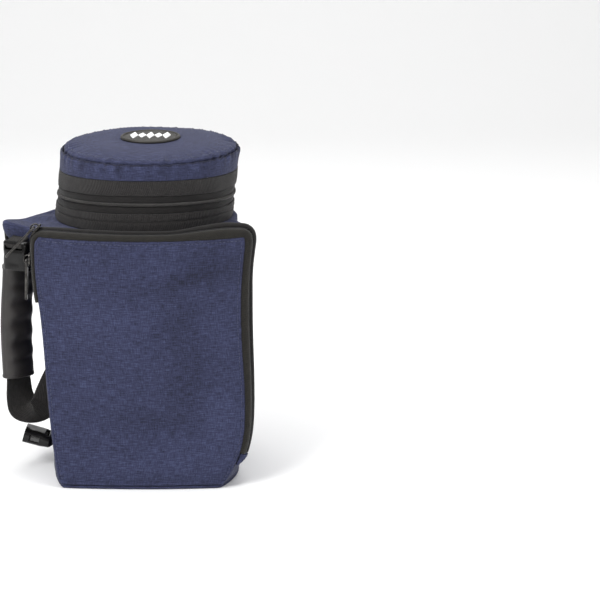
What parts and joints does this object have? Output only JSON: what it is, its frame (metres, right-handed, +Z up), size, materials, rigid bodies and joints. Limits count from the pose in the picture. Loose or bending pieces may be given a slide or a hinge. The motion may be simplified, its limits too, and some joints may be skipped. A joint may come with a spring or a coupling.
{
  "type": "tefillin case",
  "caption": "Round stiffened cloth case with a zipped domed lid, a zipped book pocket across its front, a moulded grip on a webbing handle at its side and buckle halves on webbing tabs.",
  "frame": {"origin": "middle of the cylinder on the floor", "axes": "+Z up along the cylinder; the zipped pocket faces -Y; the handle is on the -X side"},
  "size_m": [0.2106, 0.1666, 0.2719],
  "materials": {
    "cloth": "matte navy melange weave",
    "tape": "matte black ribbed webbing and zip tape",
    "coil": "satin black nylon coil",
    "webbing": "matte black webbing",
    "grip": "matte black moulded rubber",
    "buckle": "gloss black",
    "metal": "dark gunmetal",
    "badge": "satin black soft moulding",
    "motif": "matte white"
  },
  "bodies": {
    "case": {"base_panel": "cloth", "body_wall": "cloth", "shoulder_panel": "cloth", "front_panel": "cloth", "pocket_side_left": "cloth", "pocket_side_right": "cloth", "pocket_zip_front_tape": "tape", "pocket_zip_coil": "coil", "pocket_zip_back_tape": "tape", "pocket_zip_end_tab": "cloth", "collar_lower_band": "tape", "lid_zip_lower_tape": "tape", "lid_zip_coil": "coil", "lid_zip_upper_tape": "tape", "collar_upper_band": "tape", "lid_band": "cloth", "lid_top": "cloth", "lid_badge": "badge", "badge_motif": "motif", "handle_strap": "webbing", "handle_grip": "grip", "pocket_slider_upper": "metal", "pocket_slider_lower": "metal", "lid_zip_slider": "metal", "upper_buckle": "buckle", "upper_buckle_tab": "webbing", "lower_buckle": "buckle", "lower_buckle_tab": "webbing"},
    "upper_pull": {"pocket_pull_upper": "metal"},
    "lower_pull": {"pocket_pull_lower": "metal"},
    "lid_pull": {"lid_pull_tab": "metal"}
  },
  "joints": [
    {"name": "upper_pull_hinge", "type": "hinge", "parent": "case", "child": "upper_pull", "pos_m": [-0.08196, -0.06441, 0.20914], "axis": [0, 1, 0], "range_deg": [0, 150]},
    {"name": "lower_pull_hinge", "type": "hinge", "parent": "case", "child": "lower_pull", "pos_m": [-0.08839, -0.06442, 0.18345], "axis": [0, 1, 0], "range_deg": [0, 70]},
    {"name": "lid_pull_hinge", "type": "hinge", "parent": "case", "child": "lid_pull", "pos_m": [-0.026, 0.07007, 0.229], "axis": [0, 0, -1], "range_deg": [0, 150]}
  ]
}
